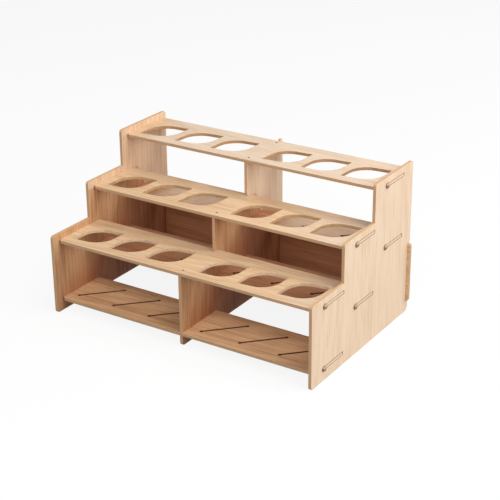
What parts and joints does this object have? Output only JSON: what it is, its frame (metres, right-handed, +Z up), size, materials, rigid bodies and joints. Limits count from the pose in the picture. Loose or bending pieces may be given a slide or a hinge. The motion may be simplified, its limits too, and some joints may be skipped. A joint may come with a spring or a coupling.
{
  "type": "hobby workstation organizer",
  "caption": "Free-standing stepped desk rack of thin wooden boards, with rows of leaf-shaped holes above slotted floor boards, a centre divider and a low back panel.",
  "frame": {"origin": "bottom centre of the whole: centre of its width and depth, on the surface that it stands on", "axes": "+X to the right along the hole rows, -Y towards the low front tier, +Z up"},
  "size_m": [0.3016, 0.1906, 0.1587],
  "materials": {
    "board_wood": "pale, straight-grained, matt and unvarnished",
    "pin_steel": "small domed pin heads, satin"
  },
  "bodies": {
    "root": {"left_side_panel": "board_wood", "right_side_panel": "board_wood", "centre_divider": "board_wood", "back_panel": "board_wood", "lower_hole_board": "board_wood", "middle_hole_board": "board_wood", "upper_hole_board": "board_wood", "lower_floor_board": "board_wood", "middle_floor_board": "board_wood", "upper_floor_board": "board_wood", "left_side_pins": "pin_steel", "right_side_pins": "pin_steel", "divider_pins": "pin_steel"}
  },
  "joints": []
}
